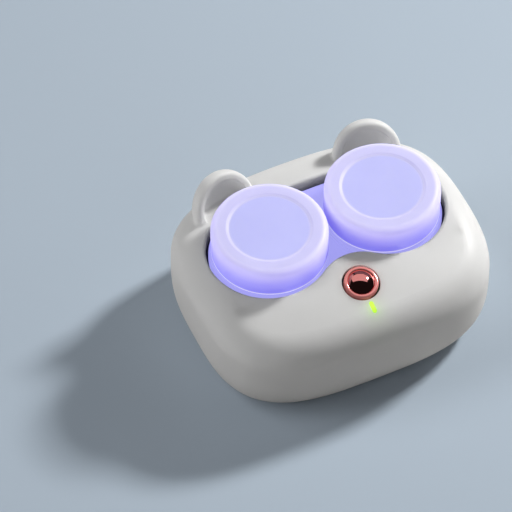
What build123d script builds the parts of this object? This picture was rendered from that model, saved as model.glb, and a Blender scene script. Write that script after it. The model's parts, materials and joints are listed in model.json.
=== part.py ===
from build123d import *
from math import asin, cos, degrees, radians, sin, sqrt
import os

# Contact lens cleaner with bear ears. A two-well lens case with screw caps sits in a
# recess of a soft rounded housing, on a frosted tray lit from below, and a small motor
# with an eccentric weight shakes it. Millimetres. The origin is on the table, under the
# middle of the housing. X runs to the right seen from the button side, Y to the back.

os.makedirs("parts", exist_ok=True)

# ---------------------------------------------------------------- driving dimensions

# Housing
body_length = 78.2            # along X, at the belt
body_width = 62.8             # along Y, at the belt
crown_height = 31.5           # highest point of the top, above the table
belt_height = 15.0            # where the housing is widest
squareness = 3.2              # exponent of the plan's squared oval
crown_radius_x = 204.0        # arch of the top along X
crown_radius_y = 80.0         # arch of the top along Y
shoulder_radius = 9.0         # rounding between the top and the sides
base_tuck = 4.6               # how far the sides pull in at the bottom
base_tuck_power = 3.5         # a higher power starts the pull later
shoulder_tuck = 1.0           # how far they pull in at crown height
shoulder_tuck_power = 3
wall = 2.2                    # housing wall
foot_proud = 0.6              # gap under the base cover
base_thickness = 2.2          # base cover plate
base_bevel = 0.6
joint_gap = 0.15              # all round the base cover's locating lip
lip_height = 2.4
lip_thickness = 1.2

# Ears
ear_from_side = 19.0          # from the housing's side to the middle of each ear
ear_from_back = 12.0          # from its back to the ears' front faces
ear_turn = 15.0               # outer ends turned forward, degrees
ear_lean = 22.0               # leaning back, degrees
ear_half_width = 9.1
ear_height = 10.0             # above the housing's top
ear_root = 5.0                # depth of the root inside the top
ear_depth = 5.2
ear_back_radius = 3.6
ear_lip = 1.9                 # width of the rim round the hollow front
ear_lip_radius = 0.9
ear_root_fillet = 0.8
ear_hollow = 3.4              # depth of the hollow front
ear_hollow_radius = 3.2

# Recess for the lens case: two round lobes, a straight back and a waisted front
cap_pitch = 31.8              # between the two caps' axes
cap_axis_y = 2.8              # caps' axes stand behind the housing's middle
lobe_radius = 16.3            # recess round each cap
recess_back = 15.5            # straight back edge, from the caps' axes
recess_waist = 11.5           # front edge at the waist, from the caps' axes
recess_corner = 5.0           # blend from the straight back into the lobes
recess_edge_radius = 0.7
skirt_thickness = 1.6         # collar that hangs below the recess edge
skirt_bottom = 24.4           # its lower end, above the table

# Tray under the lens case
gasket_thickness = 0.6
tray_flange_thickness = 1.8
tray_flange_reach = 2.2       # flange beyond the recess outline
tray_wall = 1.5
tray_step = 0.3               # tray's inner wall inside the skirt
tray_floor_top = 16.4
tray_floor_thickness = 1.6

# Lens case and caps
case_gap = 0.7                # between the case plate and the recess
case_plate_top = 26.7
case_plate_thickness = 2.0
case_plate_bevel = 0.4
collar_radius = 15.3
collar_height = 0.6
well_radius = 11.5            # of the well's round wall
well_wall = 1.4
well_dish_radius = 14.0       # of its hollow bottom
well_base_radius = 6.5        # flat outer bottom
well_bevel_height = 5.4       # from there up to the outer wall
foot_ring_radius = 8.5
foot_ring_width = 1.2
foot_ring_lift = 0.2          # round bottom of each well above the tray
cap_radius = 15.0
cap_height = 8.65
cap_lift_gap = 1.0            # between the collar and a closed cap
cap_wall = 1.4
cap_top_thickness = 1.6
cap_bevel = 0.25
cap_shoulder_radius = 1.8
cap_dish_outer = 11.1         # top of the sloped step round the dished top
cap_dish_inner = 10.3
cap_dish_depth = 0.3
seal_thickness = 0.65
seal_gap = 0.2                # seal to the cap's wall
seal_width = 3.0

# Button, switch and indicator, square to the top surface under the button
button_from_front = 13.65     # button's axis, from the housing's front
button_radius = 4.7
button_gap = 0.25
button_rise = 1.5             # height of the dome
button_sink = 0.1             # its edge below the top surface
button_flange_width = 0.55
button_flange_thickness = 0.8
button_flange_gap = 0.3       # under the curved wall, at the button's axis
button_stem_radius = 1.5
button_stem_length = 1.0
button_travel = 0.5
switch_size = 5.2
switch_height = 1.8
actuator_radius = 1.6
actuator_height = 0.7
actuator_depth = 0.7
actuator_gap = 0.06
actuator_room = 0.1           # under the pressed actuator
switch_corner = 0.5
slot_length = 3.3
slot_width = 1.2
slot_gap = 0.08
slot_from_button = 7.15
pipe_collar_width = 0.8
pipe_collar_depth = 1.8
indicator_led_size = (0.8, 1.6, 0.6)
switch_board_width = 12.0
switch_board_back = 2.8       # behind the button's axis
switch_board_front = 9.6      # in front of it
switch_board_thickness = 1.0
switch_screw_x = 4.2
switch_screw_v = 7.6

# Main board, battery, port
main_board_z = 9.4
main_board_thickness = 1.2
main_board_half_x = 26.0
main_board_front = -10.5
main_board_back = 22.5
main_board_corner = 3.0
port_tab_half = 7.0
port_tab_gap = 0.8            # board tab to the rear wall
port_width = 8.94
port_height = 3.26
port_length = 7.35
port_metal = 0.3
port_setback = 0.8            # mouth inside the housing's rear face
port_clearance = 0.3
tongue_width = 6.7
tongue_thickness = 0.7
tongue_length = 4.4
tongue_block = 1.5
led_size = 3.0
led_height = 1.0
led_dish_radius = 1.1
led_dish_depth = 0.5
led_ring_radius = 5.5
leds_per_well = 3
battery_size = (38.0, 24.0, 4.6)
battery_center_y = 5.0
battery_corner = 1.5
battery_bevel = 0.8
pad_thickness = 0.5
pad_margin = 3.0
fence_height = 2.0
fence_thickness = 1.0
fence_gap = 0.3

# Parts on the main board: centre X, centre Y, length, width, height
controller_chip = (0.0, 6.0, 5.0, 5.0, 0.9)
charger_chip = (6.0, 17.0, 3.0, 3.0, 0.8)
charger_coil = (-6.0, 17.0, 4.0, 4.0, 1.6)
motor_driver = (0.0, -5.0, 3.0, 3.0, 0.8)

# Motor
motor_y = -17.2
motor_z = 14.5
motor_radius = 3.0
motor_length = 12.0
motor_start_x = -8.0
motor_bevel = 0.4
sleeve_thickness = 0.7
sleeve_length = 7.0
sleeve_start_x = -5.5
clip_thickness = 1.2
clip_length = 7.0
clip_mouth = 110.0            # opening of the clip, degrees
shaft_radius = 0.5
shaft_gap = 0.05
shaft_length = 5.0            # outside the can
shaft_inside = 6.0
weight_radius = 2.8
weight_hub_radius = 1.3
weight_length = 3.2
weight_gap = 0.8              # from the can

# Fasteners and feet
screw_radius = 1.0
screw_head_radius = 1.9
screw_head_height = 1.1
screw_gap = 0.05              # hole round the screw's thread
screw_tip_room = 0.4
screw_head_gap = 0.2          # counterbore round the head
screw_bevel_share = 0.4       # bevels of tip and head, of their radius and height
screw_slot_share = 0.4        # width of the cross slot, of the thread's radius
small_screw_radius = 0.7
small_head_radius = 1.3
small_head_height = 0.8
boss_wall = 1.2
housing_screw_inset = 8.6     # from the housing's sides
housing_screw_y = 8.0
housing_screw_length = 7.0
housing_boss_top = 12.0
housing_rib_bottom = 5.6
rib_thickness = 1.2
counterbore_depth = 1.2
tray_screw_length = 5.0
tray_screw_turn = 45.0        # front pair, from X round each cap's axis, degrees
tray_screw_x = 12.0           # rear pair
tray_boss_clear = 0.4         # boss to skirt
main_screw_inset = 3.0        # from the board's edges
main_screw_length = 4.0
switch_screw_length = 3.4
foot_radius = 4.0
foot_inset_x = 14.1           # from the housing's sides
foot_inset_y = 14.4           # from its front and back
foot_recess = 0.9
foot_bevel = 0.25

# ---------------------------------------------------------------- derived values

sides = (-1, 1)
ear_spread = body_length / 2 - ear_from_side
ear_set_back = body_width / 2 - ear_from_back
button_y = button_from_front - body_width / 2
housing_screw_x = body_length / 2 - housing_screw_inset
foot_x = body_length / 2 - foot_inset_x
foot_y = body_width / 2 - foot_inset_y
cap_x = cap_pitch / 2
seam_z = foot_proud + base_thickness
collar_top = case_plate_top + collar_height
cap_bottom = collar_top + cap_lift_gap
cap_top = cap_bottom + cap_height
cap_ceiling = cap_top - cap_top_thickness
neck_top = cap_ceiling - seal_thickness
case_plate_bottom = case_plate_top - case_plate_thickness
tray_flange_top = skirt_bottom - gasket_thickness
tray_flange_bottom = tray_flange_top - tray_flange_thickness
tray_bottom = tray_floor_top - tray_floor_thickness
main_board_top = main_board_z + main_board_thickness
battery_bottom = seam_z + pad_thickness
port_mouth_y = body_width / 2 - port_setback
port_z = main_board_top + port_height / 2
boss_radius = screw_radius + boss_wall
small_boss_radius = small_screw_radius + boss_wall
lip_top = seam_z + lip_height
side_heights = [foot_proud, belt_height / 2, belt_height, 1.5 * belt_height, 1.1 * crown_height]
inner_heights = [seam_z, lip_top, belt_height, 1.1 * crown_height]
inner_bevel = (shoulder_radius - wall) * (2 - sqrt(2))
crown_half_width = 0.7 * body_width
outline_points = 32
outline_start = 45.0          # first point of an outline, degrees round from X
far = 200.0                   # beyond any part, for cutting tools
touch = 0.01                  # room when edges are picked by their place

# Frame of the button: on the top surface, Z square to it, Y up the slope to the back
crown_center_z = crown_height - crown_radius_y
button_rise_z = sqrt(crown_radius_y ** 2 - button_y ** 2)
button_frame = Plane(
    origin=(0, button_y, crown_center_z + button_rise_z),
    x_dir=(1, 0, 0),
    z_dir=(0, button_y / crown_radius_y, button_rise_z / crown_radius_y),
)

# Depths below the top surface in that frame
flange_top = -wall - button_flange_gap
flange_bottom = flange_top - button_flange_thickness
stem_bottom = flange_bottom - button_stem_length
switch_top = stem_bottom - actuator_height
switch_bottom = switch_top - switch_height
board_bottom = switch_bottom - switch_board_thickness

tray_boss_reach = lobe_radius + skirt_thickness + tray_boss_clear + boss_radius
tray_rear_screw_y = cap_axis_y + recess_back + skirt_thickness + tray_boss_clear + boss_radius
housing_screws = [
    (side * housing_screw_x, end * housing_screw_y) for side in sides for end in sides
]
main_screws = [
    (side * (main_board_half_x - main_screw_inset), y)
    for side in sides
    for y in (main_board_front + main_screw_inset, main_board_back - main_screw_inset)
]
switch_screws = [(side * switch_screw_x, -switch_screw_v) for side in sides]


# ---------------------------------------------------------------- shared shapes

def side_inset(z):
    """How far the side at height z stands inside the belt."""
    if z < belt_height:
        share = (belt_height - z) / (belt_height - foot_proud)
        return base_tuck * share ** base_tuck_power
    share = (z - belt_height) / (crown_height - belt_height)
    return shoulder_tuck * share ** shoulder_tuck_power


def body_outline(inset, z):
    """Squared oval of the housing at height z, moved inward by inset."""
    half_x = body_length / 2 - side_inset(z) - inset
    half_y = body_width / 2 - side_inset(z) - inset
    points = []
    for step in range(outline_points):
        angle = radians(outline_start + 360 * step / outline_points)
        across = abs(cos(angle) / half_x) ** squareness
        along = abs(sin(angle) / half_y) ** squareness
        reach = (across + along) ** (-1 / squareness)
        points.append((reach * cos(angle), reach * sin(angle), z))
    return Wire(Spline(*points, periodic=True))


def crown(inset):
    """Solid below the arched top, which curves along both X and Y."""
    half = crown_half_width
    radius = crown_radius_y - inset
    edge_z = crown_center_z + sqrt(radius ** 2 - half ** 2)
    low_z = -2 * crown_height
    arch = ThreePointArc((-half, edge_z), (0, crown_center_z + radius), (half, edge_z))
    frame = Polyline((half, edge_z), (half, low_z), (-half, low_z), (-half, edge_z))
    profile = Plane.YZ * make_face(arch.edges() + frame.edges())
    axis = Axis((0, 0, crown_height - crown_radius_x), (0, 1, 0))
    reach = degrees(asin(body_length / crown_radius_x))
    return revolve(profile.rotate(axis, -reach), axis, 2 * reach)


def outer_form():
    """The housing's outside without ears: curved sides under the arched top, rounded over."""
    blank = Solid.make_loft([body_outline(0, z) for z in side_heights]) & crown(0)
    top = blank.faces().sort_by(Axis.Z)[-1]
    return fillet(top.edges(), shoulder_radius)


def ruled_sides(inset, heights):
    """The sides at an inset, straight from each height to the next."""
    return Solid.make_loft([body_outline(inset, z) for z in heights], ruled=True)


def inner_form():
    """The form inside the housing's wall, with a bevel under the rounded shoulder."""
    blank = ruled_sides(wall, inner_heights) & crown(wall)
    top = blank.faces().sort_by(Axis.Z)[-1]
    return chamfer(top.edges(), inner_bevel)


def slab(low, high):
    """Everything between two heights."""
    return Pos(0, 0, (low + high) / 2) * Box(far, far, high - low)


def prism(sketch, low, high):
    """A flat outline raised between two heights."""
    return extrude(Pos(0, 0, low) * sketch, high - low)


def revolved(*lines):
    """Solid of revolution about Z from a closed profile of lines in (radius, height)."""
    edges = [edge for line in lines for edge in line.edges()]
    return revolve(Plane.XZ * make_face(edges), Axis.Z)


def recess_sketch(grow):
    """Outline of the recess, offset outward by grow: two lobes, a waist and a flat back."""
    waist_radius = ((cap_x ** 2 + recess_waist ** 2 - lobe_radius ** 2)
                    / (2 * (lobe_radius - recess_waist)))
    waist_center = recess_waist + waist_radius
    touch_y = waist_center * lobe_radius / (lobe_radius + waist_radius)
    back = recess_back + grow
    outline = Pos(0, (back - touch_y) / 2) * Rectangle(2 * cap_x, back + touch_y)
    for side in sides:
        outline += Pos(side * cap_x, 0) * Circle(lobe_radius + grow)
    outline -= Pos(0, -waist_center) * Circle(waist_radius - grow)
    outline -= Pos(0, back + far / 2) * Rectangle(far, far)
    corners = outline.vertices().group_by(Axis.Y)[-1]
    return Pos(0, cap_axis_y) * fillet(corners, recess_corner + grow)


def screw(radius, head_radius, head_height, length):
    """Pan-head screw with a cross slot, head down, its seat at Z 0 and its tip up."""
    head = Pos(0, 0, -head_height / 2) * Cylinder(head_radius, head_height)
    head = chamfer(head.edges().group_by(Axis.Z)[0], head_height * screw_bevel_share)
    shank = Pos(0, 0, length / 2) * Cylinder(radius, length)
    body = head + chamfer(shank.edges().group_by(Axis.Z)[-1], radius * screw_bevel_share)
    slot = Pos(0, 0, -head_height) * Box(head_radius, radius * screw_slot_share, head_height)
    return body - slot - Rot(0, 0, 90) * slot


# ---------------------------------------------------------------- housing

def ear_outline(margin):
    """Half oval of an ear's front, upright on its root, inside a margin."""
    half = ear_half_width - margin
    above_root = Rectangle(far, far, align=(Align.CENTER, Align.MIN))
    root = Rectangle(2 * half, ear_root, align=(Align.CENTER, Align.MAX))
    return (Ellipse(half, ear_height - margin) & above_root) + root


def top_arcs(solid, depth):
    """The rounded edges of an ear's outline at one depth, without the root's lower edge."""
    edges = solid.edges().filter_by_position(Axis.Z, depth - touch, depth + touch)
    return edges.filter_by_position(Axis.Y, touch - ear_root, far)


def ear(side):
    """One ear: a rounded half oval with a hollow front, rooted in the top."""
    block = extrude(ear_outline(0), -ear_depth)
    block = fillet(top_arcs(block, -ear_depth), ear_back_radius)
    block = fillet(top_arcs(block, 0), ear_lip_radius)
    hollow = extrude(ear_outline(ear_lip), -ear_hollow)
    hollow = fillet(top_arcs(hollow, -ear_hollow), ear_hollow_radius)
    turn = radians(ear_turn)
    lean = radians(ear_lean)
    front = Plane(
        origin=(side * ear_spread, ear_set_back, crown_z(ear_spread, ear_set_back)),
        x_dir=(cos(turn), -side * sin(turn), 0),
        z_dir=(-side * sin(turn) * cos(lean), -cos(turn) * cos(lean), sin(lean)),
    )
    return front * (block - hollow)


def crown_z(x, y):
    """Height of the arched top at a place in plan."""
    drop_x = crown_radius_x - sqrt(crown_radius_x ** 2 - x ** 2)
    drop_y = crown_radius_y - sqrt(crown_radius_y ** 2 - y ** 2)
    return crown_height - drop_x - drop_y


def tray_screw_places():
    """Places of the four screws that hold the tray up to the housing's top."""
    turn = radians(tray_screw_turn)
    front_x = cap_x + tray_boss_reach * cos(turn)
    front_y = cap_axis_y - tray_boss_reach * sin(turn)
    places = []
    for side in sides:
        places.append((side * front_x, front_y))
        places.append((side * tray_screw_x, tray_rear_screw_y))
    return places


def upper_shell_blank(outer):
    """The housing's outside as one solid: body with the openings in its wall, ears and recess."""
    body = outer - button_frame * prism(Circle(button_radius + button_gap), -2 * wall, 2 * wall)
    body -= button_frame * indicator_slot(0, -2 * wall, 2 * wall)
    body -= port_prism(port_clearance, body_width / 2 - 3 * wall, body_width)
    ears = [ear(side) for side in sides]
    eared = body + ears
    eared = fillet(new_edges(body, *ears, combined=eared), ear_root_fillet)
    recess = prism(recess_sketch(0), skirt_bottom - wall, far)
    cut = eared - recess
    rim = new_edges(eared, recess, combined=cut).filter_by_position(Axis.Z, skirt_bottom, far)
    return fillet(rim, recess_edge_radius)


def upper_shell_insides():
    """What stands inside the housing: the collar round the recess and the screw bosses."""
    pieces = [prism(recess_sketch(skirt_thickness) - recess_sketch(0), skirt_bottom, far)]
    for x, y in tray_screw_places():
        pieces.append(Pos(x, y) * prism(Circle(boss_radius), tray_flange_top, far))
    rib_end = body_length / 2 - side_inset(housing_rib_bottom) - wall / 2
    rib = prism(
        Rectangle(rib_end - housing_screw_x, rib_thickness), housing_rib_bottom, housing_boss_top)
    for x, y in housing_screws:
        rib_x = (rib_end + housing_screw_x) / 2
        pieces.append(Pos(x, y) * prism(Circle(boss_radius), 0, housing_boss_top))
        pieces.append(Pos(rib_x if x > 0 else -rib_x, y) * rib)
    for x, v in switch_screws:
        boss = prism(Circle(small_boss_radius), switch_bottom, 0)
        pieces.append(button_frame * Pos(x, v) * boss)
    return pieces


def upper_shell_screw_holes():
    """Blind holes that the screws cut their thread into."""
    tray_top = tray_flange_bottom + tray_screw_length + screw_tip_room
    housing_top = foot_proud + counterbore_depth + housing_screw_length + screw_tip_room
    switch_top_end = board_bottom + switch_screw_length + screw_tip_room
    holes = []
    for x, y in tray_screw_places():
        holes.append(Pos(x, y) * prism(Circle(screw_radius + screw_gap), 0, tray_top))
    for x, y in housing_screws:
        holes.append(Pos(x, y) * prism(Circle(screw_radius + screw_gap), 0, housing_top))
    for x, v in switch_screws:
        hole = prism(Circle(small_screw_radius + screw_gap), board_bottom, switch_top_end)
        holes.append(button_frame * Pos(x, v) * hole)
    return holes


def make_upper_shell(outer):
    hollow = inner_form() - upper_shell_insides()
    shell = upper_shell_blank(outer) - hollow
    return shell - (upper_shell_screw_holes() + [slab(-far, seam_z)])


def indicator_slot(margin, low, high):
    """Upright slot of the indicator in the button's frame, long up the slope."""
    outline = Rot(0, 0, 90) * SlotOverall(slot_length - 2 * margin, slot_width - 2 * margin)
    return Pos(0, -slot_from_button) * prism(outline, low, high)


def port_sketch(grow):
    """Outline of the charging port's mouth, on a plane that faces the back."""
    return SlotOverall(port_width + 2 * grow, port_height + 2 * grow)


def port_prism(grow, front, back):
    """The port's outline carried between two places along Y."""
    plane = Plane(origin=(0, front, port_z), x_dir=(-1, 0, 0), z_dir=(0, 1, 0))
    return extrude(plane * port_sketch(grow), back - front)


def make_base_cover(outer):
    plate = outer & slab(foot_proud, seam_z)
    plate = chamfer(plate.edges().group_by(Axis.Z)[0], base_bevel)
    lip_inset = wall + joint_gap
    lip = ruled_sides(lip_inset, (seam_z, lip_top))
    cover = plate + (lip - ruled_sides(lip_inset + lip_thickness, (seam_z, lip_top)))
    for x, y in main_screws:
        cover += Pos(x, y) * prism(Circle(small_boss_radius), seam_z, main_board_z)
    length, width, _ = battery_size
    inner = Rectangle(length + 2 * fence_gap, width + 2 * fence_gap)
    ring = offset(inner, fence_thickness, kind=Kind.INTERSECTION) - inner
    cover += Pos(0, battery_center_y) * prism(ring, seam_z, seam_z + fence_height)
    head_hole = Circle(screw_head_radius + screw_head_gap)
    for x, y in housing_screws:
        cover -= Pos(x, y) * prism(Circle(boss_radius + joint_gap), seam_z, far)
        cover -= Pos(x, y) * prism(Circle(screw_radius + screw_gap), 0, far)
        cover -= Pos(x, y) * prism(head_hole, 0, foot_proud + counterbore_depth)
    hole_bottom = main_board_top - main_screw_length - screw_tip_room
    for x, y in main_screws:
        cover -= Pos(x, y) * prism(Circle(small_screw_radius + screw_gap), hole_bottom, far)
    for x, y in feet_places():
        cover -= Pos(x, y) * prism(Circle(foot_radius), 0, foot_proud + foot_recess)
    return cover


def feet_places():
    return [(side * foot_x, end * foot_y) for side in sides for end in sides]


def make_feet():
    foot = prism(Circle(foot_radius), 0, foot_proud + foot_recess)
    foot = chamfer(foot.edges().group_by(Axis.Z)[0], foot_bevel)
    return [Pos(x, y) * foot for x, y in feet_places()]


def make_housing_screws():
    one = screw(screw_radius, screw_head_radius, screw_head_height, housing_screw_length)
    return [Pos(x, y, foot_proud + counterbore_depth) * one for x, y in housing_screws]


# ---------------------------------------------------------------- tray

def make_tray_gasket():
    ring = recess_sketch(skirt_thickness) - recess_sketch(0)
    return prism(ring, tray_flange_top, skirt_bottom)


def motor_cylinder(radius, start_x, length):
    """Cylinder on the motor's axis."""
    plane = Plane(origin=(start_x, motor_y, motor_z), x_dir=(0, 1, 0), z_dir=(1, 0, 0))
    return extrude(plane * Circle(radius), length)


def tray_lug(x, y):
    """Arm of the tray's flange out to one screw, from the line between the caps' axes."""
    root_x = max(-cap_x, min(cap_x, x))
    middle = ((x + root_x) / 2, (y + cap_axis_y) / 2)
    return SlotCenterPoint(middle, (x, y), 2 * boss_radius)


def make_case_tray():
    """Frosted tray under the lens case, hung from its flange, with the motor's clip."""
    flange = recess_sketch(tray_flange_reach)
    for x, y in tray_screw_places():
        flange += tray_lug(x, y)
    tray = prism(recess_sketch(tray_wall - tray_step), tray_bottom, tray_flange_top)
    tray += prism(flange, tray_flange_bottom, tray_flange_top)

    # Clip round the front of the motor's sleeve, open at the bottom, and its web
    seat_radius = motor_radius + sleeve_thickness
    clip_radius = seat_radius + clip_thickness
    clip_middle = sleeve_start_x + clip_length / 2
    web_depth = cap_axis_y - recess_waist - motor_y
    web = Box(clip_length, web_depth, 2 * clip_thickness, align=(Align.CENTER, Align.MIN, Align.MIN))
    tray += Pos(clip_middle, motor_y, tray_bottom) * web
    tray += motor_cylinder(clip_radius, sleeve_start_x, clip_length)
    tray -= motor_cylinder(seat_radius, sleeve_start_x, clip_length)
    mouth_angle = radians(clip_mouth / 2)
    mouth = Box(far, 2 * clip_radius * sin(mouth_angle), far, align=(Align.CENTER, Align.CENTER, Align.MAX))
    tray -= Pos(0, motor_y, motor_z - seat_radius * cos(mouth_angle)) * mouth

    tray -= prism(recess_sketch(-tray_step), tray_floor_top, far)
    for x, y in tray_screw_places():
        tray -= Pos(x, y) * prism(Circle(screw_radius + screw_gap), 0, far)
    return tray


def make_tray_screws():
    one = screw(screw_radius, screw_head_radius, screw_head_height, tray_screw_length)
    return [Pos(x, y, tray_flange_bottom) * one for x, y in tray_screw_places()]


# ---------------------------------------------------------------- lens case

def well_blank():
    """One well of the lens case as a solid about Z, with the neck for its cap."""
    outer = well_radius + well_wall
    bottom = tray_floor_top + foot_ring_lift
    return revolved(Polyline(
        (0, bottom), (well_base_radius, bottom), (outer, bottom + well_bevel_height),
        (outer, neck_top), (0, neck_top), close=True))


def well_hollow():
    """The space inside one well about Z: a round wall over a dished bottom."""
    center_z = tray_floor_top + foot_ring_lift + well_wall + well_dish_radius
    dish_angle = degrees(asin(well_radius / well_dish_radius))
    dish = CenterArc((0, center_z), well_dish_radius, -90, dish_angle)
    wall_line = Polyline(dish @ 1, (well_radius, far), (0, far), dish @ 0)
    return revolved(dish, wall_line)


def make_lens_case():
    """Two wells in one plate that fills the recess, each with a collar and a foot ring."""
    outline = recess_sketch(-case_gap)
    case = prism(outline, case_plate_bottom, case_plate_top)
    case = chamfer(case.edges().group_by(Axis.Z)[-1], case_plate_bevel)
    ring = Circle(foot_ring_radius) - Circle(foot_ring_radius - foot_ring_width)
    places = [Pos(side * cap_x, cap_axis_y) for side in sides]
    for place in places:
        collar = (place * Circle(collar_radius)) & outline
        case += prism(collar, case_plate_bottom, collar_top)
        case += place * (well_blank() + prism(ring, tray_floor_top, case_plate_bottom))
    for place in places:
        case -= place * well_hollow()
    return case


def make_cap(side):
    """Screw cap with a rounded shoulder and a dished top."""
    inside = cap_radius - cap_wall
    dish_z = cap_top - cap_dish_depth
    shoulder_center = (cap_radius - cap_shoulder_radius, cap_top - cap_shoulder_radius)
    shoulder = CenterArc(shoulder_center, cap_shoulder_radius, 0, 90)
    outline = Polyline(
        shoulder @ 1, (cap_dish_outer, cap_top), (cap_dish_inner, dish_z), (0, dish_z),
        (0, cap_ceiling), (inside, cap_ceiling), (inside, cap_bottom),
        (cap_radius - cap_bevel, cap_bottom), (cap_radius, cap_bottom + cap_bevel), shoulder @ 0)
    return Pos(side * cap_x, cap_axis_y) * revolved(shoulder, outline)


def make_cap_seal(side):
    outer = cap_radius - cap_wall - seal_gap
    ring = Circle(outer) - Circle(outer - seal_width)
    return Pos(side * cap_x, cap_axis_y) * prism(ring, neck_top, cap_ceiling)


# ---------------------------------------------------------------- button, switch, indicator

def make_power_button():
    dome_radius = (button_radius ** 2 + button_rise ** 2) / (2 * button_rise)
    dome = Pos(0, 0, button_rise - dome_radius) * Sphere(dome_radius)
    body = dome & prism(Circle(button_radius), -button_sink, far)
    body += prism(Circle(button_radius), flange_bottom, -button_sink)
    body += prism(Circle(button_radius + button_flange_width), flange_bottom, flange_top)
    body += prism(Circle(button_stem_radius), stem_bottom, flange_bottom)
    return button_frame * body


def make_switch_body():
    body = prism(Rectangle(switch_size, switch_size), switch_bottom, switch_top)
    body = chamfer(body.edges().filter_by(Axis.Z), switch_corner)
    bore_bottom = switch_top - actuator_depth - button_travel - actuator_room
    body -= prism(Circle(actuator_radius + actuator_gap), bore_bottom, far)
    return button_frame * body


def make_switch_actuator():
    return button_frame * prism(Circle(actuator_radius), switch_top - actuator_depth, stem_bottom)


def make_switch_board():
    length = switch_board_back + switch_board_front
    middle = (switch_board_back - switch_board_front) / 2
    board = Pos(0, middle) * Rectangle(switch_board_width, length)
    for x, v in switch_screws:
        board -= Pos(x, v) * Circle(small_screw_radius + screw_gap)
    return button_frame * prism(board, board_bottom, switch_bottom)


def make_switch_screws():
    one = screw(small_screw_radius, small_head_radius, small_head_height, switch_screw_length)
    return [button_frame * Pos(x, v, board_bottom) * one for x, v in switch_screws]


def make_indicator_led():
    led = Box(*indicator_led_size, align=(Align.CENTER, Align.CENTER, Align.MIN))
    return button_frame * Pos(0, -slot_from_button, switch_bottom) * led


def make_light_pipe(outer):
    """Light pipe from the indicator's lamp to the surface, with a collar under the wall."""
    _, _, led_top = indicator_led_size
    pipe = indicator_slot(slot_gap, switch_bottom + led_top, 2 * wall)
    collar = Rectangle(slot_width + 2 * pipe_collar_width, slot_length - 2 * slot_gap)
    collar = Pos(0, -slot_from_button) * prism(collar, -wall - pipe_collar_depth, 0)
    return (button_frame * pipe & outer) + (button_frame * collar & inner_form())


# ---------------------------------------------------------------- main board and battery

def make_main_board():
    length = main_board_back - main_board_front
    middle = (main_board_back + main_board_front) / 2
    outline = RectangleRounded(2 * main_board_half_x, length, main_board_corner)
    board = Pos(0, middle) * outline
    tab_back = body_width / 2 - wall - port_tab_gap
    tab = Rectangle(2 * port_tab_half, tab_back - middle, align=(Align.CENTER, Align.MIN))
    board += Pos(0, middle) * tab
    for x, y in main_screws:
        board -= Pos(x, y) * Circle(small_screw_radius + screw_gap)
    return prism(board, main_board_z, main_board_top)


def make_main_screws():
    one = screw(small_screw_radius, small_head_radius, small_head_height, main_screw_length)
    return [Pos(x, y, main_board_top) * Rot(180, 0, 0) * one for x, y in main_screws]


def make_violet_leds():
    lamp = prism(Rectangle(led_size, led_size), 0, led_height)
    lamp -= prism(Circle(led_dish_radius), led_height - led_dish_depth, led_height)
    lamps = []
    for side in sides:
        for count in range(leds_per_well):
            turn = Rot(0, 0, 90 + 360 * count / leds_per_well)
            place = Pos(side * cap_x, cap_axis_y, main_board_top)
            lamps.append(place * turn * Pos(led_ring_radius, 0) * lamp)
    return lamps


def make_port_shell():
    back_y = port_mouth_y - port_length
    return port_prism(0, back_y, port_mouth_y) - port_prism(-port_metal, back_y + port_metal, far)


def make_port_tongue():
    """Insulating block at the back of the port with the contact tongue in front of it."""
    start = port_mouth_y - port_length + port_metal
    block = port_prism(-port_metal, start, start + tongue_block)
    middle = (Align.CENTER, Align.MIN, Align.CENTER)
    tongue = Box(tongue_width, tongue_length, tongue_thickness, align=middle)
    return block + Pos(0, start + tongue_block, port_z) * tongue


def make_battery():
    length, width, height = battery_size
    cell = Box(length, width, height, align=(Align.CENTER, Align.CENTER, Align.MIN))
    cell = fillet(cell.edges().filter_by(Axis.Z), battery_corner)
    cell = chamfer(cell.edges().group_by(Axis.Z)[-1], battery_bevel)
    return Pos(0, battery_center_y, battery_bottom) * cell


def make_battery_pad():
    length, width, _ = battery_size
    pad = Rectangle(length - 2 * pad_margin, width - 2 * pad_margin)
    return Pos(0, battery_center_y) * prism(pad, seam_z, battery_bottom)


def make_board_chips():
    """Controller, charger with its coil, and motor driver."""
    chips = []
    for x, y, length, width, height in (controller_chip, charger_chip, charger_coil, motor_driver):
        chips.append(Pos(x, y, main_board_top + height / 2) * Box(length, width, height))
    return chips


# ---------------------------------------------------------------- motor

def make_motor_can():
    can = motor_cylinder(motor_radius, motor_start_x, motor_length)
    can = chamfer(can.edges().filter_by(GeomType.CIRCLE), motor_bevel)
    bore_start = motor_start_x + motor_length - shaft_inside
    return can - motor_cylinder(shaft_radius + shaft_gap, bore_start, far)


def make_motor_sleeve():
    sleeve = motor_cylinder(motor_radius + sleeve_thickness, sleeve_start_x, sleeve_length)
    return sleeve - motor_cylinder(motor_radius, sleeve_start_x, sleeve_length)


def make_motor_shaft():
    start = motor_start_x + motor_length - shaft_inside + shaft_gap
    return motor_cylinder(shaft_radius, start, shaft_inside - shaft_gap + shaft_length)


def make_eccentric_weight():
    """Half disc with a hub on the shaft, hanging down at rest."""
    start = motor_start_x + motor_length + weight_gap
    half = motor_cylinder(weight_radius, start, weight_length)
    half &= Pos(0, 0, motor_z - far / 2) * Box(far, far, far)
    hub = motor_cylinder(weight_hub_radius, start, weight_length)
    return half + hub - motor_cylinder(shaft_radius, start, weight_length)


# ---------------------------------------------------------------- export

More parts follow.
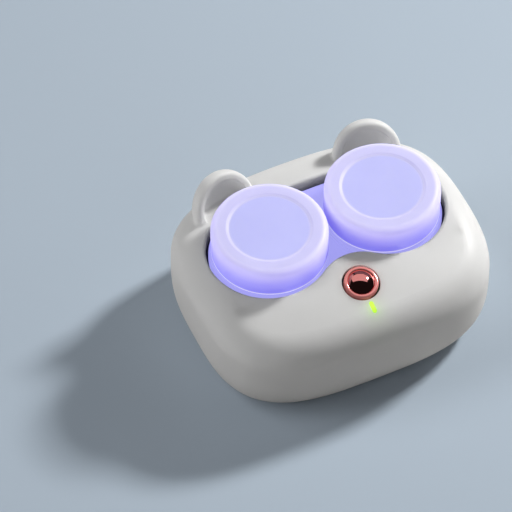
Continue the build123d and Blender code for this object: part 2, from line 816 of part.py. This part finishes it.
def main():
    outer = outer_form()
    nodes = {
        "upper_shell": make_upper_shell(outer),
        "base_cover": make_base_cover(outer),
        "housing_screws": make_housing_screws(),
        "rubber_feet": make_feet(),
        "case_tray": make_case_tray(),
        "tray_gasket": make_tray_gasket(),
        "tray_screws": make_tray_screws(),
        "lens_case": make_lens_case(),
        "left_cap": make_cap(-1),
        "right_cap": make_cap(1),
        "left_cap_seal": make_cap_seal(-1),
        "right_cap_seal": make_cap_seal(1),
        "power_button": make_power_button(),
        "switch_body": make_switch_body(),
        "switch_actuator": make_switch_actuator(),
        "switch_board": make_switch_board(),
        "switch_board_screws": make_switch_screws(),
        "indicator_led": make_indicator_led(),
        "indicator_light_pipe": make_light_pipe(outer),
        "main_board": make_main_board(),
        "main_board_screws": make_main_screws(),
        "violet_leds": make_violet_leds(),
        "board_chips": make_board_chips(),
        "port_shell": make_port_shell(),
        "port_tongue": make_port_tongue(),
        "battery_cell": make_battery(),
        "battery_pad": make_battery_pad(),
        "motor_can": make_motor_can(),
        "motor_sleeve": make_motor_sleeve(),
        "motor_shaft": make_motor_shaft(),
        "eccentric_weight": make_eccentric_weight(),
    }
    for name, solids in nodes.items():
        shape = Compound(children=solids) if isinstance(solids, list) else solids
        export_step(shape, f"parts/{name}.step")


main()
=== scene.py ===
"""Looks of the contact lens cleaner: materials, screw threads, button, studio and camera.

Everything is in metres, in the part's own frame: +Z up, -Y towards the user, the table at z = 0.
"""
import json
import math

import bmesh
import bpy
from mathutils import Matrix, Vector


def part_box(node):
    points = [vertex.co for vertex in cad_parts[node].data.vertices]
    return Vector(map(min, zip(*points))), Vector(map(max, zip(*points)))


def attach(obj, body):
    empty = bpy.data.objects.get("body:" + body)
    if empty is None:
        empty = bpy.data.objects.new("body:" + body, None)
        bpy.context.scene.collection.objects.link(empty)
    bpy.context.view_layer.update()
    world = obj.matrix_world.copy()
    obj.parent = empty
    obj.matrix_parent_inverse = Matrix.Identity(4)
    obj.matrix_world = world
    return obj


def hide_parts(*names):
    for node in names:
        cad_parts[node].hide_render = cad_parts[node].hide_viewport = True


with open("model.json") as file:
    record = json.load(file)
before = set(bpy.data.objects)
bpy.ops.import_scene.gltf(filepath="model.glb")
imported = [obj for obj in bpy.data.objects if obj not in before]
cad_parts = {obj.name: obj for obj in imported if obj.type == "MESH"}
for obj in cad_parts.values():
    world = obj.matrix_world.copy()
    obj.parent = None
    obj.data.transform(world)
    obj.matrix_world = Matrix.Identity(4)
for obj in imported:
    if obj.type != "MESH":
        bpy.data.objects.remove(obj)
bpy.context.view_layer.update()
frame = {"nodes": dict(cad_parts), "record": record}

MM = 0.001

# ---------------------------------------------------------------- places read from the frame

left_low, left_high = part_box("left_cap")
right_low, right_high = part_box("right_cap")
case_low, case_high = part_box("lens_case")
pipe_low, pipe_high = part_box("indicator_light_pipe")
cap_centers = {
    "left": (left_low + left_high) / 2,
    "right": (right_low + right_high) / 2,
}
slit_center = (pipe_low + pipe_high) / 2
slit_top = Vector((slit_center.x, slit_center.y, pipe_high.z))

# The button's axis is square to the arched top, which is an arc of crown_radius along Y.
crown_height = 31.5 * MM
crown_radius = 80.0 * MM
joints = frame["record"]["behaviour"]["joints"]
press = next(joint for joint in joints if joint["name"] == "button_press")
button_axis = -Vector(press["axis"])
button_face = crown_radius * button_axis + Vector((0, 0, crown_height - crown_radius))

# ---------------------------------------------------------------- sizes that the finishes use

cap_radius = 15.0 * MM
ring_inner = 3.3 * MM         # edge of the button's polished dome
ring_outset = 1.2             # the ring's satin is full at so many times that radius

# The indicator's light, painted on the housing as a glow, is full up to the first distance from the
# slit's top, and ends at the second.
halo_reach = (1.2 * MM, 5.0 * MM)
halo_falloff = 2.2
halo_strength = 0.014
slit_reach = (0.6 * MM, 2.4 * MM)
glow_spill = 0.05             # share of the violet glow that lands on other pieces

# ---------------------------------------------------------------- node helpers


class Shader:
    """One material's node tree, with short calls for the nodes that every finish uses."""

    def __init__(self, name, roughness=0.5, metallic=0.0):
        self.material = bpy.data.materials.new(name)
        self.material.use_nodes = True
        self.nodes = self.material.node_tree.nodes
        self.links = self.material.node_tree.links
        self.surface = self.nodes["Principled BSDF"]
        self.surface.inputs["Roughness"].default_value = roughness
        self.surface.inputs["Metallic"].default_value = metallic
        coordinates = self.nodes.new("ShaderNodeTexCoord")
        self.place = coordinates.outputs["Object"]

    def set(self, **values):
        """Sets plain inputs of the surface; underscores stand for spaces."""
        for key, value in values.items():
            self.surface.inputs[key.replace("_", " ")].default_value = value

    def connect(self, output, name):
        """Links an output to the surface's input of that name."""
        self.links.new(output, self.surface.inputs[name])

    def noise(self, scale, detail=3.0, stretch=(1, 1, 1)):
        """Cloudy noise; scale is in repeats per metre."""
        mapping = self.nodes.new("ShaderNodeMapping")
        mapping.inputs["Scale"].default_value = stretch
        self.links.new(self.place, mapping.inputs["Vector"])
        noise = self.nodes.new("ShaderNodeTexNoise")
        noise.inputs["Scale"].default_value = scale
        noise.inputs["Detail"].default_value = detail
        self.links.new(mapping.outputs["Vector"], noise.inputs["Vector"])
        return noise.outputs["Fac"]

    def ramp(self, factor, *stops):
        """Colour ramp through (position, colour) stops."""
        ramp = self.nodes.new("ShaderNodeValToRGB")
        elements = ramp.color_ramp.elements
        while len(elements) < len(stops):
            elements.new(0.5)
        for element, (position, color) in zip(elements, stops):
            element.position = position
            element.color = (*color, 1.0)
        self.links.new(factor, ramp.inputs["Fac"])
        return ramp.outputs["Color"]

    def tones(self, factor, darker, lighter):
        """Colour that goes from darker to lighter over a noise's usual range."""
        return self.ramp(factor, (0.3, darker), (0.7, lighter))

    def spread(self, factor, low, high, from_low=0.3, from_high=0.7):
        """The factor mapped from its range, a noise's usual one if none is given, to low..high."""
        node = self.nodes.new("ShaderNodeMapRange")
        node.inputs["From Min"].default_value = from_low
        node.inputs["From Max"].default_value = from_high
        node.inputs["To Min"].default_value = low
        node.inputs["To Max"].default_value = high
        self.links.new(factor, node.inputs["Value"])
        return node.outputs["Result"]

    def axes(self):
        """The place's X, Y and Z."""
        separate = self.nodes.new("ShaderNodeSeparateXYZ")
        self.links.new(self.place, separate.inputs["Vector"])
        return separate.outputs

    def height(self, low, high):
        """0 at height low to 1 at height high."""
        return self.spread(self.axes()["Z"], 0.0, 1.0, low, high)

    def near(self, point, full, none):
        """1 within the distance full of a point, falling to 0 at the distance none."""
        distance = self.nodes.new("ShaderNodeVectorMath")
        distance.operation = "DISTANCE"
        distance.inputs[1].default_value = point
        self.links.new(self.place, distance.inputs[0])
        return self.spread(distance.outputs["Value"], 1.0, 0.0, full, none)

    def cap_ring(self):
        """0 on the axis of the nearer cap to 1 at its outer wall."""
        axes = self.axes()
        aside = self.maths("ABSOLUTE", axes["X"], 0.0)
        center = cap_centers["right"]
        squares = []
        for value, middle in ((aside, center.x), (axes["Y"], center.y)):
            offset = self.maths("SUBTRACT", value, middle)
            squares.append(self.maths("MULTIPLY", offset, offset))
        distance = self.maths("SQRT", self.maths("ADD", *squares), 0.0)
        return self.spread(distance, 0.0, 1.0, 0.0, cap_radius)

    def mix(self, factor, first, second):
        """Colour that goes from first to second with the factor; each is an output or plain numbers."""
        node = self.nodes.new("ShaderNodeMix")
        node.data_type = "RGBA"
        self.links.new(factor, node.inputs["Factor"])
        sockets = [socket for socket in node.inputs if socket.type == "RGBA"]
        for socket, color in zip(sockets, (first, second)):
            if isinstance(color, tuple):
                socket.default_value = (*color, 1.0)
            else:
                self.links.new(color, socket)
        return next(socket for socket in node.outputs if socket.type == "RGBA")

    def maths(self, operation, first, second):
        """Result of a Math node on two outputs or numbers."""
        node = self.nodes.new("ShaderNodeMath")
        node.operation = operation
        for socket, value in zip(node.inputs, (first, second)):
            if isinstance(value, (int, float)):
                socket.default_value = value
            else:
                self.links.new(value, socket)
        return node.outputs["Value"]

    def bump(self, factor, depth, strength):
        """Relief of the given depth."""
        node = self.nodes.new("ShaderNodeBump")
        node.inputs["Distance"].default_value = depth
        node.inputs["Strength"].default_value = strength
        self.links.new(factor, node.inputs["Height"])
        self.connect(node.outputs["Normal"], "Normal")


def scaled(color, share):
    return tuple(share * value for value in color)


# ---------------------------------------------------------------- finishes


def housing_white():
    """Satin white moulding with a fine spark texture, and the indicator's light painted into it as a
    green glow round the slit.
    """
    shader = Shader("housing_white")
    tone = shader.noise(60, detail=2)
    shader.connect(shader.tones(tone, (0.85, 0.85, 0.845), (0.88, 0.88, 0.875)), "Base Color")
    grain = shader.noise(3200, detail=4)
    shader.connect(shader.spread(grain, 0.40, 0.50), "Roughness")
    shader.bump(grain, 0.012 * MM, 0.5)
    shader.set(Subsurface_Weight=0.60, Subsurface_Scale=6.0 * MM, Subsurface_Radius=(1.0, 1.0, 1.0))
    shader.set(Specular_IOR_Level=0.35)
    # painted glow: the housing shines green round the slit, standing in for the indicator's light on it
    halo = shader.maths("POWER", shader.near(slit_top, *halo_reach), halo_falloff)
    shader.connect(shader.maths("MULTIPLY", halo, halo_strength), "Emission Strength")
    shader.set(Emission_Color=(0.55, 1.0, 0.12, 1.0))
    return shader.material


def lit_plastic(name, base, glow):
    """Milky plastic, lit from inside. Only a small share of its glow lands on other pieces."""
    shader = Shader(name)
    shader.connect(base(shader), "Base Color")
    cloud = shader.noise(90)
    grain = shader.noise(2600)
    shader.connect(shader.spread(grain, 0.38, 0.48), "Roughness")
    shader.bump(grain, 0.006 * MM, 0.4)
    shader.set(Subsurface_Weight=0.60, Subsurface_Scale=3.0 * MM, Subsurface_Radius=(0.8, 0.8, 1.0))
    shader.set(Specular_IOR_Level=0.25)
    shader.connect(glow(shader), "Emission Color")
    path = shader.nodes.new("ShaderNodeLightPath")
    spill = shader.maths("MAXIMUM", path.outputs["Is Camera Ray"], glow_spill)
    strength = shader.maths("MULTIPLY", spill, shader.spread(cloud, 0.97, 1.03))
    shader.connect(strength, "Emission Strength")
    return shader.material


def cap_base(shader):
    return shader.tones(shader.noise(90), (0.52, 0.52, 0.56), (0.54, 0.54, 0.58))


def cap_glow(shader):
    """The inner violet light painted in as glow: deep violet low on the skirt, paler up to the
    shoulder, faint on the dished top, with a painted highlight line along the lower edge and a painted
    highlight ring at the step of the top.
    """
    level = shader.height(left_low.z, left_high.z)
    # the pale stops at 0 and 0.05 paint a highlight line along the cap's lower edge, and the paler
    # shoulder stops paint light where the rounded edge would be in shade
    skirt = shader.ramp(
        level, (0.0, (0.70, 0.67, 0.92)), (0.05, (0.60, 0.57, 0.90)), (0.09, (0.14, 0.12, 0.76)),
        (0.45, (0.20, 0.17, 0.78)), (0.78, (0.35, 0.31, 0.78)), (1.0, (0.38, 0.345, 0.72)))
    # the pale stop at 0.70 paints a highlight ring on the step of the dished top
    top = shader.ramp(
        shader.cap_ring(), (0.66, (0.11, 0.12, 0.50)), (0.70, (0.26, 0.24, 0.52)),
        (0.75, (0.20, 0.18, 0.48)), (0.87, (0.21, 0.19, 0.48)), (0.96, (0.38, 0.345, 0.68)))
    on_top = shader.spread(level, 0.0, 1.0, 0.94, 0.96)
    return shader.mix(on_top, skirt, top)


def case_bands(shader, well, plate):
    """One colour on the wells and necks, another on the plate between them."""
    level = shader.height(case_low.z, case_high.z)
    return shader.ramp(
        level, (0.0, well), (0.42, well), (0.46, plate), (0.60, plate), (0.64, well), (1.0, well))


def case_base(shader):
    return case_bands(shader, (0.38, 0.37, 0.48), (0.13, 0.125, 0.20))


def case_glow(shader):
    return case_bands(shader, (0.13, 0.12, 0.42), (0.35, 0.34, 0.86))


def frosted_tray():
    """Frosted plastic of the tray under the lens case."""
    shader = Shader("frosted_tray", roughness=0.6)
    grain = shader.noise(1800, detail=4)
    shader.connect(shader.tones(grain, (0.30, 0.28, 0.50), (0.36, 0.34, 0.56)), "Base Color")
    shader.bump(grain, 0.02 * MM, 0.6)
    return shader.material


def rose_chrome():
    """Rose-gold plating, polished on the dome and satin on the ring round it."""
    shader = Shader("rose_chrome", metallic=1.0)
    wave = shader.noise(180, detail=1)
    shader.connect(shader.tones(wave, (0.94, 0.32, 0.30), (0.98, 0.35, 0.33)), "Base Color")
    on_dome = shader.near(button_face, ring_inner, ring_outset * ring_inner)
    shader.connect(shader.spread(on_dome, 0.24, 0.06, 0.0, 1.0), "Roughness")
    shader.connect(shader.spread(on_dome, 0.45, 1.0, 0.0, 1.0), "Metallic")
    shader.bump(wave, 0.004 * MM, 0.3)
    return shader.material


def light_pipe():
    """Tinted light pipe, lit through from the lamp under it."""
    shader = Shader("light_pipe", roughness=0.25)
    level = shader.near(slit_top, *slit_reach)
    shader.set(Base_Color=(0.50, 0.80, 0.06, 1.0))
    glow = shader.ramp(level, (0.0, (0.40, 0.80, 0.03)), (1.0, (0.70, 1.0, 0.12)))
    shader.connect(glow, "Emission Color")
    shader.connect(shader.spread(shader.noise(700), 0.50, 0.56), "Emission Strength")
    return shader.material


def metal(name, color, roughness, stretch=(1, 1, 1)):
    """Bare metal with fine marks, drawn out where it is turned or rolled."""
    shader = Shader(name, metallic=1.0)
    marks = shader.noise(1500, detail=4, stretch=stretch)
    shader.connect(shader.tones(marks, scaled(color, 0.85), color), "Base Color")
    shader.connect(shader.spread(marks, roughness - 0.06, roughness + 0.08), "Roughness")
    shader.bump(marks, 0.006 * MM, 0.5)
    return shader.material


def soft_or_moulded(name, color, roughness, relief):
    """Plain plastic, rubber or foam with a fine matte grain."""
    shader = Shader(name)
    grain = shader.noise(2400, detail=4)
    shader.connect(shader.tones(grain, scaled(color, 0.85), color), "Base Color")
    shader.connect(shader.spread(grain, roughness - 0.06, roughness + 0.06), "Roughness")
    shader.bump(grain, relief, 0.6)
    return shader.material


def circuit_board():
    """Green solder mask over faint copper tracks."""
    shader = Shader("circuit_board", roughness=0.3)
    tracks = shader.nodes.new("ShaderNodeTexBrick")
    tracks.inputs["Scale"].default_value = 260
    tracks.inputs["Mortar Size"].default_value = 0.06
    tracks.inputs["Color1"].default_value = (0.012, 0.13, 0.055, 1.0)
    tracks.inputs["Color2"].default_value = (0.016, 0.16, 0.065, 1.0)
    tracks.inputs["Mortar"].default_value = (0.03, 0.24, 0.10, 1.0)
    shader.links.new(shader.place, tracks.inputs["Vector"])
    shader.connect(tracks.outputs["Color"], "Base Color")
    shader.bump(tracks.outputs["Fac"], 0.03 * MM, 0.4)
    return shader.material


def clear_resin(name, color, strength):
    """A lamp's clear resin with its glow."""
    shader = Shader(name, roughness=0.2)
    paler = tuple(min(1.0, value) for value in scaled(color, 1.1))
    shader.connect(shader.tones(shader.noise(1200), color, paler), "Base Color")
    shader.set(Emission_Color=(*color, 1.0), Emission_Strength=strength)
    return shader.material


FINISHES = {
    "housing_white": housing_white(),
    "violet_cap": lit_plastic("violet_cap", cap_base, cap_glow),
    "violet_case": lit_plastic("violet_case", case_base, case_glow),
    "frosted_tray": frosted_tray(),
    "rose_chrome": rose_chrome(),
    "light_pipe": light_pipe(),
    "zinc_steel": metal("zinc_steel", (0.66, 0.67, 0.69), 0.34),
    "port_steel": metal("port_steel", (0.70, 0.70, 0.70), 0.28, stretch=(0.1, 1, 1)),
    "tungsten": metal("tungsten", (0.30, 0.30, 0.31), 0.42),
    "battery_foil": metal("battery_foil", (0.72, 0.73, 0.74), 0.38, stretch=(1, 0.3, 1)),
    "grey_rubber": soft_or_moulded("grey_rubber", (0.07, 0.07, 0.075), 0.78, 0.03 * MM),
    "clear_silicone": soft_or_moulded("clear_silicone", (0.74, 0.74, 0.80), 0.45, 0.01 * MM),
    "black_plastic": soft_or_moulded("black_plastic", (0.020, 0.020, 0.022), 0.5, 0.015 * MM),
    "circuit_board": circuit_board(),
    "lamp_yellow": clear_resin("lamp_yellow", (0.80, 0.95, 0.30), 0.8),
    "lamp_violet": clear_resin("lamp_violet", (0.45, 0.40, 1.0), 0.8),
}
for subpart in frame["record"]["subparts"]:
    mesh = frame["nodes"][subpart["node"]].data
    mesh.materials.clear()
    mesh.materials.append(FINISHES[subpart["material_slot"]])

# ---------------------------------------------------------------- mesh helper


def add_piece(name, mesh, finish):
    """Turns a bmesh into a smooth-shaded object with that finish."""
    bmesh.ops.recalc_face_normals(mesh, faces=mesh.faces)
    data = bpy.data.meshes.new(name)
    mesh.to_mesh(data)
    mesh.free()
    data.shade_smooth()
    data.materials.append(FINISHES[finish])
    piece = bpy.data.objects.new(name, data)
    bpy.context.scene.collection.objects.link(piece)
    return piece


# ---------------------------------------------------------------- screw threads

thread_pitch = 3.0 * MM
thread_turns = 1.25
thread_height = 0.30 * MM
thread_width = 1.1 * MM
thread_steps = 96
thread_fade = 8               # each end fades out over one part in eight of the length
# Corners of the ridge's section: along the axis in widths, and out of the wall in heights.
thread_section = ((-0.5, -0.15), (-0.22, 1.0), (0.22, 1.0), (0.5, -0.15))

neck_radius = 12.9 * MM
neck_thread_start = 1.2 * MM  # above the closed cap's lower edge
cap_bore = 13.6 * MM
cap_thread_start = 2.7 * MM   # above the same edge


def thread(name, center, radius, outward, start, finish):
    """A helical ridge on a round wall, standing outward (1) or inward (-1), faded out at both ends."""
    mesh = bmesh.new()
    rows = []
    for step in range(thread_steps + 1):
        share = step / thread_steps
        angle = 2 * math.pi * thread_turns * share
        fade = min(1.0, thread_fade * share, thread_fade * (1 - share))
        z = left_low.z + start + thread_pitch * thread_turns * share
        row = []
        for across, rise in thread_section:
            ring = radius + outward * thread_height * (rise * fade if rise > 0 else rise)
            spot = Vector((ring * math.cos(angle), ring * math.sin(angle), z + across * thread_width))
            row.append(mesh.verts.new(spot + Vector((center.x, center.y, 0))))
        rows.append(row)
    for before, after in zip(rows, rows[1:]):
        for index in range(len(before)):
            following = (index + 1) % len(before)
            mesh.faces.new((before[index], before[following], after[following], after[index]))
    mesh.faces.new(rows[0][::-1])
    mesh.faces.new(rows[-1])
    return add_piece(name, mesh, finish)


for side, center in cap_centers.items():
    ridge = thread(f"{side}_neck_thread", center, neck_radius, 1, neck_thread_start, "violet_case")
    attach(ridge, "lens_case")
    ridge = thread(f"{side}_cap_thread", center, cap_bore, -1, cap_thread_start, "violet_cap")
    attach(ridge, f"{side}_cap")

# ---------------------------------------------------------------- button

button_radius = 4.45 * MM     # 0.5 mm inside the hole's edge
button_wall = 2.0 * MM        # how far its side goes down into the hole
ring_foot = 0.05 * MM         # the ring's edges, above the housing's top
ring_rise = 0.30 * MM
dome_foot = 0.35 * MM
dome_rise = 1.40 * MM
dome_steps = 14
button_turns = 96
button_crease = math.radians(40)  # edges sharper than this stay sharp


def button_profile():
    """(radius, height) from the top of the dome, over the rounded ring and down the side."""
    dome_radius = (ring_inner ** 2 + dome_rise ** 2) / (2 * dome_rise)
    dome_spread = math.asin(ring_inner / dome_radius)
    points = []
    for step in range(dome_steps + 1):
        angle = dome_spread * step / dome_steps
        drop = dome_radius * (1 - math.cos(angle))
        points.append((dome_radius * math.sin(angle), dome_foot + dome_rise - drop))
    ring_middle = (ring_inner + button_radius) / 2
    ring_half = (button_radius - ring_inner) / 2
    for step in range(1, dome_steps + 1):
        angle = math.pi * step / dome_steps
        height = ring_foot + ring_rise * math.sin(angle)
        points.append((ring_middle - ring_half * math.cos(angle), height))
    points.append((button_radius, -button_wall))
    points.append((0.0, -button_wall))
    return points


def button():
    """The dome in its ring, turned about the button's axis."""
    tilt = Vector((0, 0, 1)).rotation_difference(button_axis)
    mesh = bmesh.new()
    profile = button_profile()
    top = mesh.verts.new(button_face + tilt @ Vector((0, 0, profile[0][1])))
    bottom = mesh.verts.new(button_face + tilt @ Vector((0, 0, profile[-1][1])))
    rows = []
    for turn in range(button_turns):
        angle = 2 * math.pi * turn / button_turns
        rows.append([
            mesh.verts.new(button_face + tilt @ Vector((r * math.cos(angle), r * math.sin(angle), z)))
            for r, z in profile[1:-1]])
    for before, after in zip(rows, rows[1:] + rows[:1]):
        mesh.faces.new((top, before[0], after[0]))
        mesh.faces.new((bottom, after[-1], before[-1]))
        for index in range(len(before) - 1):
            mesh.faces.new((before[index], before[index + 1], after[index + 1], after[index]))
    piece = add_piece("button_dome", mesh, "rose_chrome")
    piece.data.set_sharp_from_angle(angle=button_crease)
    return piece


dome = button()
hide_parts("power_button")
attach(dome, "button")

# ---------------------------------------------------------------- studio

floor_size = 6.0
floor_color = (0.48, 0.565, 0.66)
floor_bounce = (0.50, 0.50, 0.50)
lamp_aim = Vector((0, 0, 0.02))


def floor():
    """A large pale table top. Its blue tint doesn't colour the object's underside."""
    bpy.ops.mesh.primitive_plane_add(size=floor_size, location=(0, 0, 0))
    plane = bpy.context.object
    plane.name = "floor"
    shader = Shader("floor", roughness=0.6)
    seen = shader.tones(shader.noise(3.0, detail=2), scaled(floor_color, 0.97), floor_color)
    path = shader.nodes.new("ShaderNodeLightPath")
    shader.connect(shader.mix(path.outputs["Is Camera Ray"], floor_bounce, seen), "Base Color")
    shader.set(Specular_IOR_Level=0.2)
    plane.data.materials.append(shader.material)


def direction(azimuth, elevation):
    """Unit vector from the object; azimuth 0 points to the front (-Y), 90 degrees to the right (+X)."""
    turn = math.radians(azimuth)
    rise = math.radians(elevation)
    return Vector((
        math.sin(turn) * math.cos(rise), -math.cos(turn) * math.cos(rise), math.sin(rise)))


def lamp(name, azimuth, elevation, size, power, distance=0.9, color=(1, 1, 1), mirrored=True,
         lights=True):
    """Soft lamp aimed at the object. One that isn't mirrored only fills in shade, and one that
    doesn't light is only mirrored."""
    towards = direction(azimuth, elevation)
    data = bpy.data.lights.new(name, "AREA")
    data.shape = "RECTANGLE"
    data.size, data.size_y = size
    data.energy = power
    data.color = color
    item = bpy.data.objects.new(name, data)
    item.location = lamp_aim + distance * towards
    item.rotation_mode = "QUATERNION"
    item.rotation_quaternion = towards.to_track_quat("Z", "Y")
    item.visible_glossy = mirrored
    item.visible_diffuse = lights
    bpy.context.scene.collection.objects.link(item)


floor()
lamp("key", 104, 35, (0.12, 0.12), 7.9, color=(1.0, 0.995, 0.98))
lamp("overhead_card", 155, 58, (1.60, 0.80), 2.7, distance=0.8, lights=False)
lamp("front_fill", 0, 35, (0.50, 0.30), 0.45, mirrored=False)
lamp("right_fill", 68, 22, (0.45, 0.30), 0.55, mirrored=False)
lamp("left_fill", -105, 24, (0.45, 0.30), 1.7, mirrored=False)
lamp("left_high_fill", -120, 50, (0.45, 0.30), 1.6, mirrored=False)
lamp("left_front_fill", -60, 45, (0.45, 0.30), 0.3, mirrored=False)

world = bpy.data.worlds.new("studio")
world.use_nodes = True
sky = world.node_tree.nodes["Background"]
sky.inputs["Color"].default_value = (0.95, 0.97, 1.0, 1.0)
sky.inputs["Strength"].default_value = 0.01
bpy.context.scene.world = world

# ---------------------------------------------------------------- camera

camera_azimuth = -24.97
camera_elevation = 52.09
camera_distance = 0.900
camera_aim = Vector((-18.6, 5.14, 23.83)) * MM
back = direction(camera_azimuth, camera_elevation)
camera_data = bpy.data.cameras.new("camera")
camera_data.lens = 247.5
camera_data.sensor_width = 36.0
camera_data.clip_start = 0.01
camera_data.clip_end = 20.0
camera = bpy.data.objects.new("camera", camera_data)
camera.location = camera_aim + camera_distance * back
camera.rotation_mode = "QUATERNION"
camera.rotation_quaternion = (-back).to_track_quat("-Z", "Y")
bpy.context.scene.collection.objects.link(camera)
bpy.context.scene.camera = camera
bpy.context.scene.view_settings.view_transform = "Standard"
